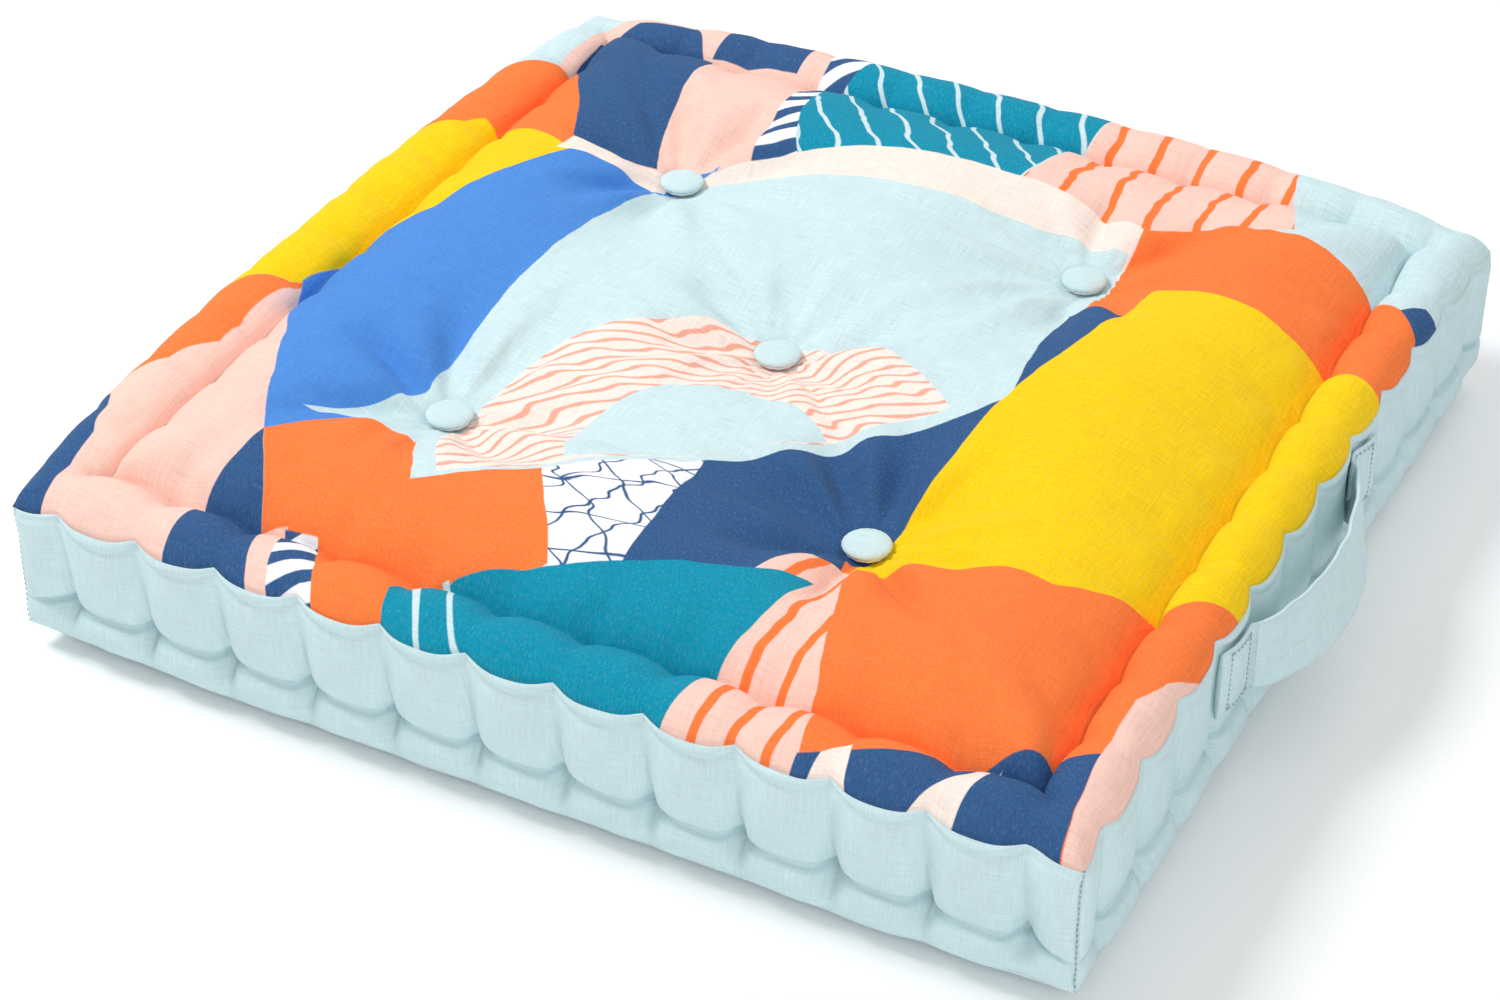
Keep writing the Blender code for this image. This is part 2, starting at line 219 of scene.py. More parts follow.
def sideLine(t, z):
    """how far a side stands out and its height, t along it and z up the flat strip"""
    valley = valleyShare(t)
    fade = smooth((cover["half"] - abs(t)) / 0.03)
    row, seam = cover["stitchHeight"], cover["seamHeight"]
    valley **= 1 + cover["rowNarrow"] * bump((z - row) / 0.045)  # a stitch pulls in only a small spot
    if z >= row:
        u = (z - row) / (seam - row)
        column = 0.0015 * math.sin(math.pi * u) - cover["rowPull"] * bump(u / 0.12)
        column += cover["seamOut"][1] * bump((1 - u) / 0.25)
        pull = mix(cover["stitchPull"], -cover["seamOut"][0], u**0.65)
        lift = mix(cover["seamLift"][1], cover["seamLift"][0], valley) * fade * u * u
    else:
        w = (row - z) / (row - cover["baseSeamHeight"])
        column = 0.0055 * math.sin(math.pi * w) ** 0.7 - cover["rowPull"] * bump(w / 0.25)
        pull = cover["stitchPull"] * bump(w / 0.62)
        lift = cover["baseCornerLift"] * smooth((abs(t) - 0.17) / 0.13) * w
    return mix(column, -pull, valley) * fade, z + lift


def buildCover():
    """the whole cover as one closed mesh; its flat cut is kept as a second shape"""
    bm = bmesh.new()
    uv = bm.loops.layers.uv.new("cloth")
    cells = len(stations) - 1
    heights = cover["rowsBelow"] + cover["rowsAbove"]
    rows = len(heights) - 1

    def index(share, count):
        return round((share + 1) / 2 * count)

    def addPanel(columns, rowCount, place, number):
        old = set(bm.faces)
        made = bmesh.ops.create_grid(bm, x_segments=columns, y_segments=rowCount, size=1)
        spots = {}
        for vert in made["verts"]:
            i, j = index(vert.co.x, columns), index(vert.co.y, rowCount)
            vert.co, spots[vert] = place(i, j)
        for face in set(bm.faces) - old:
            face.material_index = number
            for loop in face.loops:
                loop[uv].uv = spots[loop.vert]

    def top(i, j):
        return (stations[i], stations[j], cover["seamHeight"]), (stations[i], stations[j])

    def base(i, j):
        return (-stations[i], stations[j], cover["baseSeamHeight"]), (stations[i], stations[j])

    addPanel(cells, cells, top, 0)
    addPanel(cells, cells, base, 1)
    for number in range(4):
        turn = Matrix.Rotation(number * math.pi / 2, 3, "Z")

        def side(i, j, turn=turn):
            flat = Vector((stations[i], -cover["half"], heights[j]))
            return turn @ flat, (stations[i], heights[j])

        addPanel(cells, rows, side, 2 + number)
    bmesh.ops.remove_doubles(bm, verts=bm.verts, dist=0.00002)
    bm.verts.ensure_lookup_table()
    mesh = bpy.data.meshes.new("cover")
    bm.to_mesh(mesh)
    bm.free()
    obj = bpy.data.objects.new("cover", mesh)
    bpy.context.scene.collection.objects.link(obj)
    return obj


def cutPlace(flat):
    """the same point on the cut cloth, before it is gathered and stuffed"""
    half, inner = cover["half"], cover["half"] - cover["grooveIn"]
    d = half - max(abs(flat.x), abs(flat.y))
    scale = mix(cover["edgeCut"], cover["panelCut"], smooth(d / 0.07))
    places = []
    for s in (flat.x, flat.y):
        a = abs(s)
        length = a * scale + max(a - inner, 0) * (cover["rollCut"] - 1)
        length += cover["grooveCut"] * (smooth((a - inner + 0.0055) / 0.0055) + smooth((a - inner) / 0.0055))
        places.append(math.copysign(length, s))
    return Vector((places[0], places[1], flat.z * cover["sideCut"])) + plump(Vector(), flat.x, flat.y, flat.z / cover["seamHeight"])


def shapeCover(obj):
    """sets the cover's starting shape, its flat cut and where it is held"""
    mesh = obj.data
    half = cover["half"]
    top, low, row = cover["seamHeight"], cover["baseSeamHeight"], cover["stitchHeight"]
    flats = [v.co.copy() for v in mesh.vertices]
    start = obj.shape_key_add(name="start", from_mix=False)
    cut = obj.shape_key_add(name="cut", from_mix=False)
    held = obj.vertex_groups.new(name="held")
    flatPlaces = mesh.attributes.new("flat", "FLOAT_VECTOR", "POINT")
    flatPlaces.data.foreach_set("vector", [value for flat in flats for value in flat])
    lines = []  # for each point, the seams and creases that it lies on
    for i, flat in enumerate(flats):
        x, y, z = flat
        cut.data[i].co = cutPlace(flat)
        d = half - max(abs(x), abs(y))
        onEdge = d < 1e-5
        onTop, onBase = z > top - 1e-5, z < low + 1e-5
        axis = 0 if abs(x) > abs(y) else 1
        along = y if axis == 0 else x
        corner = min(abs(x), abs(y)) > half - 1e-5
        on = set()
        weight = 0.0
        if onTop and not onEdge:
            place = topPlace(x, y)
            onGroove = abs(d - cover["grooveIn"]) < 0.001 and abs(along) < 0.272
            if min(math.hypot(x - bx, y - by) for bx, by in buttonPlaces.values()) < cover["buttonSeat"]:
                weight = 1.0
            elif onGroove:
                weight = 1.0 if isStitch(along) else 0.8
                on.add("groove")
            elif isStitch(along) and d < cover["grooveIn"]:
                weight = 0.4
                on.add("valley")
        elif onBase and not onEdge:
            place = basePlace(x, y)
            weight = 0.9 * smooth((d - 0.01) / 0.04)
        else:
            out, height = sideLine(along, z)
            if onTop:
                out, height = seamLine(along)
                on.add("seam")
            if onBase:
                on.add("seam")
            place = Vector((x, y, height))
            place[axis] += math.copysign(1, (x, y)[axis]) * out
            if corner:
                on.add("seam")
                weight = 0.3
            elif isStitch(along):
                on.add("valley")
                weight = 1.0 if abs(z - row) < 0.001 else (0.62 if z > row else 0.4)
            elif abs(z - row) < 0.001:
                weight = 0.45
            if abs(z - row) < 0.001:
                on.add("row")
            if abs(z - lipHeight) < 0.001 and not corner:
                on.add("lip")
        place = plump(place, x, y, smooth(z / top) if not (onTop or onBase) else float(onTop))
        if weight < 0.5:
            place = place + noise.noise_vector(flat * 45) * 0.0007
        start.data[i].co = place
        lines.append(on)
        if weight > 0:
            held.add([i], weight, "REPLACE")
    sharp = {"seam": 0.8, "groove": 0.9, "row": 0.9, "lip": 0.2, "valley": 0.65}
    creases = mesh.attributes.new("crease_edge", "FLOAT", "EDGE")
    for edge in mesh.edges:
        shared = lines[edge.vertices[0]] & lines[edge.vertices[1]]
        creases.data[edge.index].value = max((sharp[name] for name in shared), default=0.0)
    start.value = 1.0
    return obj


def simulate(obj, frames=22):
    cloth = obj.modifiers.new("cloth", "CLOTH")
    settings = cloth.settings
    settings.quality = 6
    settings.mass = 0.003
    settings.air_damping = 1.0
    settings.tension_stiffness = 60
    settings.compression_stiffness = 60
    settings.shear_stiffness = 12
    settings.bending_stiffness = 0.15
    settings.tension_damping = 8
    settings.compression_damping = 8
    settings.shear_damping = 8
    settings.bending_damping = 0.5
    settings.use_pressure = True
    settings.uniform_pressure_force = 150
    settings.vertex_group_mass = "held"
    settings.pin_stiffness = 1.0
    settings.rest_shape_key = obj.data.shape_keys.key_blocks["cut"]
    settings.effector_weights.gravity = 0
    cloth.collision_settings.use_collision = False
    cloth.collision_settings.use_self_collision = False
    cloth.point_cache.frame_start = 1
    cloth.point_cache.frame_end = frames
    scene = bpy.context.scene
    for number in range(1, frames + 1):
        scene.frame_set(number)
    depsgraph = bpy.context.evaluated_depsgraph_get()
    evaluated = obj.evaluated_get(depsgraph)
    places = np.empty(len(obj.data.vertices) * 3)
    evaluated.data.vertices.foreach_get("co", places)
    obj.modifiers.remove(cloth)
    obj.shape_key_clear()
    scene.frame_set(1)
    places = places.reshape(-1, 3)
    places[:, 2] = np.maximum(places[:, 2], 0.0012)  # flat where it lies on the floor
    return places


coverObj = buildCover()
shapeCover(coverObj)
print("cover cut and pinned,", len(coverObj.data.vertices), "points")
places = simulate(coverObj)
coverObj.data.vertices.foreach_set("co", places.astype(np.float32).ravel())
print("cover stuffed")

# fine folds and creases, in metres
creases = {
    "seamDepth": 0.0011, "seamWidth": 0.0016,
    "rowDepth": 0.0034, "rowWidth": 0.0013, "rowSag": 0.0012,
    "lipDepth": 0.0016, "lipWidth": 0.0018, "lipDrop": (0.0035, 0.0085),
    "tuckDepth": 0.0026, "tuckWidth": 0.0024, "tuckLength": 0.015,
    "pleatDepth": 0.0010, "pleats": 15,
    "wrinkle": 0.0008, "bandWrinkle": 0.0016,
}


def gauss(t):
    return np.exp(-t * t)


def valleys(t):
    along = np.abs(np.sin(np.pi * np.clip((t + cover["stitchSpan"] / 2) / pitch, 0, cover["stitches"] - 1)))
    return (1 - along) ** 1.2


def nearestStitch(t):
    number = np.clip(np.round((t + cover["stitchSpan"] / 2) / pitch), 0, cover["stitches"] - 1)
    return t - (number * pitch - cover["stitchSpan"] / 2)


def addFineFolds(mesh):
    count = len(mesh.vertices)
    flat = np.empty(count * 3, np.float32)
    mesh.attributes["flat"].data.foreach_get("vector", flat)
    flat = flat.reshape(-1, 3).astype(float)
    points = np.empty(count * 3, np.float32)
    mesh.vertices.foreach_get("co", points)
    points = points.reshape(-1, 3).astype(float)
    normals = np.empty(count * 3, np.float32)
    mesh.vertices.foreach_get("normal", normals)
    normals = normals.reshape(-1, 3)
    half, row, seam = cover["half"], cover["stitchHeight"], cover["seamHeight"]
    x, y, z = flat.T
    onTop, onBase = z > seam - 0.0002, z < cover["baseSeamHeight"] + 0.0002
    side = ~onTop & ~onBase
    t = np.where(np.abs(x) > np.abs(y), y, x)
    d = half - np.maximum(np.abs(x), np.abs(y))
    valley = valleys(t)
    inside = np.clip((half - np.abs(t)) / 0.012, 0, 1)
    depth = np.zeros(count)
    # seam between the top and the sides, and the upright seams at the corners
    depth += creases["seamDepth"] * gauss(np.where(onTop, d, seam - z) / creases["seamWidth"]) * (onTop | side)
    depth += creases["seamDepth"] * gauss((half - np.abs(t)) / creases["seamWidth"]) * side
    # crease between the columns and the lower band
    rowLine = row - creases["rowSag"] * (1 - valley)
    depth += creases["rowDepth"] * gauss((z - rowLine) / creases["rowWidth"]) * side * inside * (0.6 + 0.4 * valley)
    # crease under the lip
    drop = creases["lipDrop"][0] + (creases["lipDrop"][1] - creases["lipDrop"][0]) * (1 - valley)
    depth += creases["lipDepth"] * gauss((seam - drop - z) / creases["lipWidth"]) * side * inside
    # tucks below and above each stitch
    near = nearestStitch(t)
    reach = np.clip(1 - np.abs(row - z) / creases["tuckLength"], 0, 1)
    depth += creases["tuckDepth"] * gauss(near / creases["tuckWidth"]) * reach * side
    # pleats round the buttons
    for number, (bx, by) in enumerate(buttonPlaces.values()):
        away, turn = np.hypot(x - bx, y - by), np.arctan2(y - by, x - bx)
        wave = np.cos((creases["pleats"] + number) * turn + number + 1.3 * np.sin(3 * turn + number))
        share = np.clip(1 - ((away - 0.022) / 0.016) ** 2, 0, 1) ** 2
        depth += creases["pleatDepth"] * wave * share * (onTop | onBase)
    wrinkles = np.empty(count)
    for i in range(count):
        fx, fy, fz = flat[i]
        if side[i]:
            spot = Vector((t[i] * 60, fz * 22, 3.0 + fx * 3))
            wrinkles[i] = noise.noise(spot) * 1.2
            if fz < row:  # the lower band is held less tightly
                spot = Vector((t[i] * 34 + fz * 40, fz * 70 - t[i] * 9, 8.0 + fx * 3))
                wrinkles[i] += noise.noise(spot) * creases["bandWrinkle"] / creases["wrinkle"] * min((row - fz) / 0.006, 1)
        else:
            spot = Vector((fx * 24, fy * 24, 0.0))
            wrinkles[i] = noise.noise(spot) * 0.9 + 0.45 * noise.noise(spot * 3.1)
    depth += creases["wrinkle"] * wrinkles * np.clip(1.2 - gauss(d / 0.002), 0, 1)
    points -= normals * depth[:, None]
    mesh.vertices.foreach_set("co", points.astype(np.float32).ravel())
    mesh.update()
    return flat


def applyModifiers(obj):
    depsgraph = bpy.context.evaluated_depsgraph_get()
    mesh = bpy.data.meshes.new_from_object(obj.evaluated_get(depsgraph))
    obj.modifiers.clear()
    obj.data = mesh
    return mesh


finer = coverObj.modifiers.new("finer", "SUBSURF")
finer.levels = finer.render_levels = 1
coverMesh = applyModifiers(coverObj)
coverFlat = addFineFolds(coverMesh)
coverMesh.transform(Matrix.Translation((middleX, middleY, 0)))
coverTree = BVHTree.FromPolygons([v.co for v in coverMesh.vertices], [p.vertices for p in coverMesh.polygons])
print("fine folds added", len(coverMesh.polygons))


# cloth and thread finishes
palette = {
    "paleBlue": "CFE6EA", "orange": "FF7F3B", "yellow": "FBD000", "navy": "30598A", "teal": "0090AE",
    "cornflower": "4C8CDB", "blush": "FACFC1", "cream": "FAEAE0", "coral": "F4AE98", "white": "F8F8FA",
}
weave = {
    "pitch": 0.0007,
    "slub": 0.08,  # how much the thick threads change the colour
    "fleck": 0.30,  # light specks between the dyed threads
    "printEdge": 0.0006,
}


def linear(name):
    parts = [int(palette[name][i : i + 2], 16) / 255 for i in (0, 2, 4)]
    return tuple(c / 12.92 if c <= 0.04045 else ((c + 0.055) / 1.055) ** 2.4 for c in parts) + (1,)


def addNode(tree, kind, inputs=None, **settings):
    node = tree.nodes.new(kind)
    for key, value in settings.items():
        setattr(node, key, value)
    for key, value in (inputs or {}).items():
        if isinstance(value, bpy.types.NodeSocket):
            tree.links.new(value, node.inputs[key])
        else:
            node.inputs[key].default_value = value
    return node


def calc(tree, operation, *values, clamp=False):
    inputs = dict(enumerate(values))
    return addNode(tree, "ShaderNodeMath", inputs, operation=operation, use_clamp=clamp).outputs[0]


def vectorCalc(tree, operation, a, b, output=0):
    return addNode(tree, "ShaderNodeVectorMath", {0: a, 1: b}, operation=operation).outputs[output]


def mixColours(tree, share, a, b, blend="MIX"):
    node = addNode(tree, "ShaderNodeMix", data_type="RGBA", blend_type=blend)
    for socket, value in ((node.inputs[0], share), (node.inputs[6], a), (node.inputs[7], b)):
        if isinstance(value, bpy.types.NodeSocket):
            tree.links.new(value, socket)
        else:
            socket.default_value = value
    return node.outputs[2]


def newFinish(name):
    material = bpy.data.materials.new(name)
    material.use_nodes = True
    return material, material.node_tree, material.node_tree.nodes["Principled BSDF"]


def noiseOf(tree, spot, scale, detail=2.0, stretch=None):
    if stretch:
        spot = addNode(tree, "ShaderNodeMapping", {"Vector": spot, "Scale": stretch}).outputs[0]
    return addNode(
        tree, "ShaderNodeTexNoise", {"Vector": spot, "Scale": scale, "Detail": detail}, noise_dimensions="2D"
    ).outputs["Fac"]


def addWeave(tree, shader, spot, colour, bumpHeight=0.00016, fleck=0.0, slub=None):
    """plain weave with thick and thin threads; colour is a socket or a fixed colour"""
    slub = weave["slub"] if slub is None else slub
    across = noiseOf(tree, spot, 1.0, 2.0, (60, 1300, 1))
    upward = noiseOf(tree, spot, 1.0, 2.0, (1300, 60, 1))
    threads = calc(tree, "ADD", across, upward)  # about 1 on average
    wave = 2 * math.pi / 20 / weave["pitch"]
    bands = [
        addNode(tree, "ShaderNodeTexWave", {"Vector": spot, "Scale": wave}, bands_direction=way).outputs["Fac"]
        for way in ("X", "Y")
    ]
    height = calc(tree, "MULTIPLY", bands[0], bands[1])
    height = calc(tree, "MULTIPLY_ADD", threads, 0.8, height)
    cloudy = noiseOf(tree, spot, 14.0, 3.0)
    value = calc(tree, "MULTIPLY_ADD", calc(tree, "SUBTRACT", threads, 1.0), slub * 2.4, 1.0)
    value = calc(tree, "MULTIPLY_ADD", calc(tree, "SUBTRACT", cloudy, 0.5), 0.07, value)
    tinted = vectorCalcScale(tree, colour, value)
    if fleck:
        specks = noiseOf(tree, spot, 1.0, 1.0, (1700, 420, 1))
        share = calc(tree, "MULTIPLY_ADD", calc(tree, "SUBTRACT", specks, 0.52), 3.2, 0.0, clamp=True)
        share = calc(tree, "MULTIPLY", share, fleck)
        tinted = mixColours(tree, share, tinted, (0.80, 0.88, 0.95, 1))
    tree.links.new(tinted, shader.inputs["Base Color"])
    rough = calc(tree, "MULTIPLY_ADD", threads, 0.10, 0.76, clamp=True)
    tree.links.new(rough, shader.inputs["Roughness"])
    bumpNode = addNode(tree, "ShaderNodeBump", {"Height": height, "Strength": 0.55, "Distance": bumpHeight})
    tree.links.new(bumpNode.outputs[0], shader.inputs["Normal"])
    shader.inputs["Sheen Weight"].default_value = 0.03
    shader.inputs["Sheen Roughness"].default_value = 0.45
    shader.inputs["Specular IOR Level"].default_value = 0.15


def vectorCalcScale(tree, colour, value):
    node = addNode(tree, "ShaderNodeVectorMath", operation="SCALE")
    if isinstance(colour, bpy.types.NodeSocket):
        tree.links.new(colour, node.inputs[0])
    else:
        node.inputs[0].default_value = colour[:3]
    tree.links.new(value, node.inputs["Scale"])
    return node.outputs[0]


def clothSpot(tree):
    return addNode(tree, "ShaderNodeUVMap", uv_map="cloth").outputs[0]


def maskOf(tree, distance):
    """1 inside the printed shape, where distance is below 0"""
    return calc(tree, "MULTIPLY_ADD", distance, -1 / weave["printEdge"], 0.5, clamp=True)


def shapeDistance(tree, spot, corners):
    """distance to a printed shape: its corners anticlockwise in cm, each with how far the edge after it bows out"""
    distance = None
    for number, corner in enumerate(corners):
        here = Vector(corner[:2]) / 100
        there = Vector(corners[(number + 1) % len(corners)][:2]) / 100
        bow = corner[2] / 100 if len(corner) > 2 else 0.0
        chord = there - here
        outward = Vector((chord.y, -chord.x)).normalized()
        if abs(bow) < 1e-6:
            away = vectorCalc(tree, "DOT_PRODUCT", spot, (*outward, 0), "Value")
            away = calc(tree, "SUBTRACT", away, outward.dot(here))
        else:
            radius = ((chord.length / 2) ** 2 + bow * bow) / (2 * abs(bow))
            middle = (here + there) / 2 - outward * math.copysign(radius - abs(bow), bow)
            away = vectorCalc(tree, "DISTANCE", spot, (*middle, 0), "Value")
            away = calc(tree, "SUBTRACT", *((away, radius) if bow > 0 else (radius, away)))
        distance = away if distance is None else calc(tree, "MAXIMUM", distance, away)
    return distance


def stripeDistance(tree, spot, angle, pitchCm, widthCm, shiftCm=0.0, waviness=0.0):
    turned = math.radians(angle)
    across = (-math.sin(turned), math.cos(turned), 0)
    place = vectorCalc(tree, "DOT_PRODUCT", spot, across, "Value")
    if waviness:
        along = addNode(
            tree, "ShaderNodeMapping", {"Vector": spot, "Rotation": (0, 0, -turned), "Scale": (9, 60, 1)}
        ).outputs[0]
        waves = noiseOf(tree, along, 1.0, 1.0)
        place = calc(tree, "MULTIPLY_ADD", calc(tree, "SUBTRACT", waves, 0.5), waviness / 100, place)
    place = calc(tree, "ADD", place, 1 + shiftCm / 100)
    near = calc(tree, "PINGPONG", place, pitchCm / 200)
    return calc(tree, "SUBTRACT", near, widthCm / 200)


# the printed shapes, from the lowest to the last, in cm from the middle of the cloth.
# stripes are (colour, angle, pitch, width, shift, waviness)
printShapes = [
    ("blush", [(-31, -31), (-19.5, -31), (-19.8, -21.6, 0.4), (-27.2, -6.8), (-31, -6.8)]),
    ("orange", [(-31, -23.5), (-27.4, -14.5, -0.3), (-27, -6.7), (-31, -11.5)]),
    ("navy", [(-31, -31), (-28, -31), (-28.2, -24.5), (-29.3, -21), (-31, -21)]),
    ("navy", [(-20, -31), (-14.3, -31), (-16.9, -26.2), (-19.8, -21.6), (-20.4, -26.5)]),
    ("orange", [(-31, 5), (-20, 9), (-21, 12.9), (-26.3, 22.8), (-31, 17.5)]),
    ("yellow", [(-31, -11.5), (-27, -6.7, 0.5), (-20.6, 11), (-24, 12.6), (-27.5, 13.2), (-31, 7.5)]),
    ("blush", [(-27.5, 21.5), (-21, 21.5), (-19, 31), (-25, 31), (-27.5, 27)]),
    ("blush", [(-19.5, 12), (-11.2, 14), (-10.9, 22), (-12.6, 31), (-20, 31)]),
    ("navy", [(-26.8, 22.5, -0.3), (-21.5, 12.7), (-16.6, 14.3, -0.5), (-18.4, 25), (-22, 29), (-25.5, 28.2), (-27, 25.5)]),
    ("navy", [(-19.5, 27), (-13.8, 27.2), (-13.8, 31), (-19.5, 31)]),
    ("white", [(-11.2, 15.5), (-6, 15.5), (-7, 31), (-12.6, 31)], ("navy", 34, 1.65, 0.8, 0.2, 0.3)),
    ("teal", [(-7.9, 16.5), (3.8, 18), (6.5, 31), (-8.8, 31, 2.3)], ("paleBlue", -51, 2.1, 0.26, 0.4, 0.8)),
    ("blush", [(3.8, 17), (12.4, 17), (20.6, 21.8), (17.3, 31), (6.5, 31)], ("orange", 88, 2.75, 0.5, -0.25, 0.7)),
    ("orange", [(11.2, 12.5), (14, 9), (31, 9), (31, 16.8, 3.2), (12.4, 19.1)]),
    ("navy", [(28.3, 18.9), (31, 16.5), (31, 20.2), (29.2, 20.2)]),
    ("orange", [(-19.8, -21.6), (-16.9, -26.2), (-10.4, -31), (-6.5, -31), (-1, -23.5), (-5.6, -16.5), (-19.7, -16)]),
    ("cornflower", [(-19.8, -21.6), (-12, -12), (-13, 16), (-20.7, 10.9, 0.7), (-27.2, -6.8, 0.4)]),
    ("cream", [(-21.5, 10.7), (-15, 12.4), (-15.5, 14.5), (-21.5, 12.7)]),
    ("navy", [(1.9, -24), (13, -20), (16, 4), (1, -11)]),
    ("white", [(-5.8, -17.2), (-0.4, -25.5), (2.3, -25), (1.2, -11), (-5, -14)], ("navy", 68, 2.3, 0.15, 0.3, 2.4), ("navy", 15, 2.9, 0.13, 0.9, 2.8), ("navy", -38, 2.6, 0.12, 0.2, 2.0)),
    ("cream", [(-14, 14), (12.5, 14), (12.5, 19.2, 3.0), (-14, 14.9)]),
    ("paleBlue", [(-19.8, -18), (-13, -17.3), (-12, -10), (-15.8, -12, -0.3)]),
    ("paleBlue", [(-10.8, -21.8, 0.9), (13.5, -1.2), (12.3, 17.7, 0.4), (-10.5, 15.6), (-13.6, 14.3), (-15.3, 11.8, 0.4), (-15.8, -12.5)]),
    ("cream", [(-9.9, -20.7, 0.9), (10.7, -2.6, 12.8)], ("coral", 34, 0.82, 0.22, 0.2, 1.3)),
    ("paleBlue", [(-4.9, -16.6, 0.5), (5.8, -7.6, 6.0)]),
    ("navy", [(11.6, 10.9), (13.5, -1), (18, -1), (17.5, 9.2)]),
    ("orange", [(10.6, -15), (14.5, -31), (31, -31), (31, -8)]),
    ("yellow", [(11.1, -16.2, -0.6), (22, -14.6), (31, -9.3), (31, 11, 0.5), (16, 13.6), (12.9, -3, -0.4)]),
    ("blush", [(5, -31), (16, -31), (11.3, -15.9), (9, -17.2)], ("orange", 81, 1.95, 0.5, 0.4, 0.5)),
    ("teal", [(-7, -31), (8.2, -31), (10.2, -22.3), (11.2, -16.1, 0.5), (-5.5, -25.9), (-7.2, -26.6), (-7.9, -28)]),
    ("paleBlue", [(-4.3, -31), (-4.0, -31), (-7.3, -26.5), (-7.6, -26.8)]),
    ("paleBlue", [(-2.2, -31), (-1.9, -31), (-5.9, -26.0), (-6.2, -26.1)]),
    ("navy", [(15.2, -31), (28.8, -31), (28.3, -23.7, -0.4), (15.4, -29.3)]),
    ("cream", [(16, -31), (18.4, -31), (17.5, -28.2), (16.4, -29)]),
    ("cream", [(20.6, -31), (23.2, -31), (24.2, -26.2), (22.3, -28.4)]),
    ("blush", [(28.9, -31), (31, -31), (31, -12.5), (28.3, -19.4), (28.3, -24)]),
    ("blush", [(-14.6, -31), (-13.4, -31), (-15.5, -26), (-16.9, -26.2)]),
    ("white", [(-13.4, -31), (-10.6, -31), (-13.7, -26), (-15.6, -26.1)], ("navy", 30, 1.4, 0.7, 0.3, 0.0)),
]


def makePrintedCotton():
    material, tree, shader = newFinish("printed cotton")
    spot = clothSpot(tree)
    # the edges of the shapes are a little uneven
    wobble = addNode(tree, "ShaderNodeTexNoise", {"Vector": spot, "Scale": 34.0, "Detail": 2.0}).outputs["Color"]
    wobble = vectorCalc(tree, "SUBTRACT", wobble, (0.5, 0.5, 0.5))
    wobble = vectorCalc(tree, "MULTIPLY", wobble, (0.0034, 0.0034, 0.0))
    drawn = vectorCalc(tree, "ADD", spot, wobble)
    colour = linear("paleBlue")
    for name, corners, *stripes in printShapes:
        inside = maskOf(tree, shapeDistance(tree, drawn, corners))
        ink = linear(name)
        for stripeName, *stripe in stripes:
            stripeMask = maskOf(tree, stripeDistance(tree, drawn, *stripe))
            ink = mixColours(tree, stripeMask, ink, linear(stripeName))
        colour = mixColours(tree, inside, colour, ink)
    addWeave(tree, shader, spot, colour, fleck=0.07, slub=0.11)
    return material


def makePaleCotton(name="pale cotton", colourName="paleBlue"):
    material, tree, shader = newFinish(name)
    addWeave(tree, shader, clothSpot(tree), linear(colourName))
    return material


def makeThread(name, colour, twist):
    material, tree, shader = newFinish(name)
    spot = addNode(tree, "ShaderNodeTexCoord").outputs["Object"]
    wave = addNode(
        tree, "ShaderNodeTexWave", {"Vector": spot, "Scale": twist, "Distortion": 1.5}, bands_direction="DIAGONAL"
    ).outputs["Fac"]
    shade = calc(tree, "MULTIPLY_ADD", wave, 0.5, 0.7)
    tree.links.new(vectorCalcScale(tree, colour, shade), shader.inputs["Base Color"])
    rough = calc(tree, "MULTIPLY_ADD", wave, 0.15, 0.6)
    tree.links.new(rough, shader.inputs["Roughness"])
    bumpNode = addNode(tree, "ShaderNodeBump", {"Height": wave, "Strength": 0.6, "Distance": 0.0002})
    tree.links.new(bumpNode.outputs[0], shader.inputs["Normal"])
    return material


def makePlastic():
    material, tree, shader = newFinish("button plastic")
    spot = addNode(tree, "ShaderNodeTexCoord").outputs["Object"]
    grain = addNode(tree, "ShaderNodeTexNoise", {"Vector": spot, "Scale": 900.0, "Detail": 3.0}).outputs["Fac"]
    tree.links.new(vectorCalcScale(tree, (0.82, 0.84, 0.84), calc(tree, "MULTIPLY_ADD", grain, 0.12, 0.9)), shader.inputs["Base Color"])
    tree.links.new(calc(tree, "MULTIPLY_ADD", grain, 0.2, 0.4), shader.inputs["Roughness"])
    bumpNode = addNode(tree, "ShaderNodeBump", {"Height": grain, "Strength": 0.3, "Distance": 0.0001})
    tree.links.new(bumpNode.outputs[0], shader.inputs["Normal"])
    return material


printedCotton = makePrintedCotton()
paleCotton = makePaleCotton()
sewingThread = makeThread("sewing thread", (0.40, 0.50, 0.54), 900.0)
waxedTwine = makeThread("waxed twine", (0.10, 0.15, 0.17), 700.0)
buttonPlastic = makePlastic()
print("finishes ready")


def splitCover(number, name, material):
    bm = bmesh.new()
    bm.from_mesh(coverMesh)
    bmesh.ops.delete(bm, geom=[face for face in bm.faces if face.material_index != number], context="FACES")
    for face in bm.faces:
        face.material_index = 0
        face.smooth = True
    mesh = bpy.data.meshes.new(name)
    bm.to_mesh(mesh)
    bm.free()
    piece = bpy.data.objects.new(name, mesh)
    bpy.context.scene.collection.objects.link(piece)
    mesh.materials.append(material)
    thick = piece.modifiers.new("cloth thickness", "SOLIDIFY")
    thick.thickness = 0.0008
    thick.offset = -1
    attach(piece, "cushion")
    return piece


